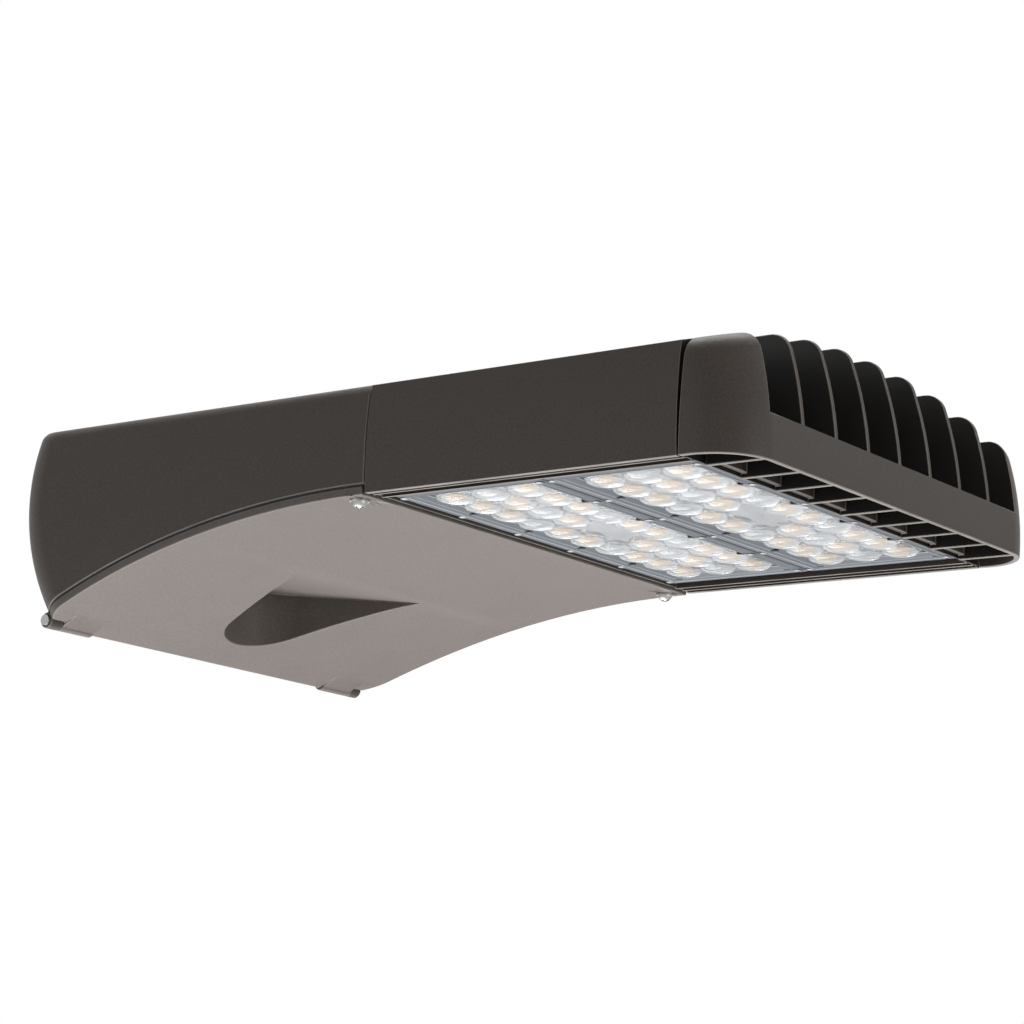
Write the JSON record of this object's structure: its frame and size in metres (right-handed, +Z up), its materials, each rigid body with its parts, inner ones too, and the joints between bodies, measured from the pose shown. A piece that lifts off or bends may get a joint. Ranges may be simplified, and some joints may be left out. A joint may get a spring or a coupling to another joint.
{
  "type": "shoebox area light",
  "caption": "Rectangular area light for a pole arm: slotted front bezel, finned heat sink over lens modules, and a driver housing with a hinged underside door.",
  "frame": {"origin": "centre of the flat arm pad on the rear face of the driver housing", "axes": "+X points away from the pole towards the slotted bezel, +Z up, +Y to the left when looking along +X"},
  "size_m": [0.55, 0.332, 0.147],
  "materials": {
    "cast_bronze": "die-cast, fine-textured dark bronze powder coat",
    "sink_bronze": "extruded and machined, fine-textured dark bronze powder coat",
    "gasket": "matt silicone sponge",
    "screw_steel": "bright stainless",
    "pin_steel": "bright stainless, turned",
    "retainer": "natural nylon",
    "frame_grey": "moulded, satin grey",
    "lens": "clear moulded acrylic",
    "board": "metal-core board, gloss white mask",
    "emitter": "yellow phosphor",
    "sensor": "black moulding",
    "driver_case": "pressed case, bare",
    "surge_case": "black moulding",
    "block": "ivory moulding",
    "brass": "plated brass",
    "ground_green": "green-lacquered brass",
    "lead_black": "insulated lead",
    "lead_green": "insulated lead",
    "lead_red": "insulated lead",
    "lead_blue": "insulated lead"
  },
  "bodies": {
    "fixture": {"driver_housing": "cast_bronze", "heat_sink": "sink_bronze", "front_bezel": "cast_bronze", "joint_gasket": "gasket", "door_gasket": "gasket", "arm_gasket": "gasket", "housing_screws": "screw_steel", "bezel_screws": "screw_steel", "hinge_pins": "pin_steel", "rear_led_board": "board", "front_led_board": "board", "rear_leds": "emitter", "front_leds": "emitter", "board_sensors": "sensor", "rear_optic_gasket": "gasket", "front_optic_gasket": "gasket", "rear_optic_plate": "lens", "front_optic_plate": "lens", "rear_optic_frame": "frame_grey", "front_optic_frame": "frame_grey", "frame_screws": "screw_steel", "led_driver": "driver_case", "surge_protector": "surge_case", "terminal_block": "block", "clamp_screws": "brass", "gear_screws": "screw_steel", "ground_screw": "ground_green", "supply_leads": "lead_black", "surge_leads": "lead_blue", "ground_lead": "lead_green", "led_leads": "lead_red", "lead_grommet": "gasket"},
    "door": {"driver_door": "cast_bronze"},
    "right_screw": {"right_door_screw": "screw_steel", "right_retaining_ring": "retainer"},
    "left_screw": {"left_door_screw": "screw_steel", "left_retaining_ring": "retainer"}
  },
  "joints": [
    {"name": "door_hinge", "type": "hinge", "parent": "fixture", "child": "door", "pos_m": [0.026, 0, -0.05747], "axis": [0, 1, 0], "range_deg": [0, 85]},
    {"name": "right_screw_turn", "type": "hinge", "parent": "door", "child": "right_screw", "pos_m": [0.2825, -0.1545, 0], "axis": [0, 0, 1], "continuous": true},
    {"name": "left_screw_turn", "type": "hinge", "parent": "door", "child": "left_screw", "pos_m": [0.2825, 0.1545, 0], "axis": [0, 0, 1], "continuous": true}
  ]
}
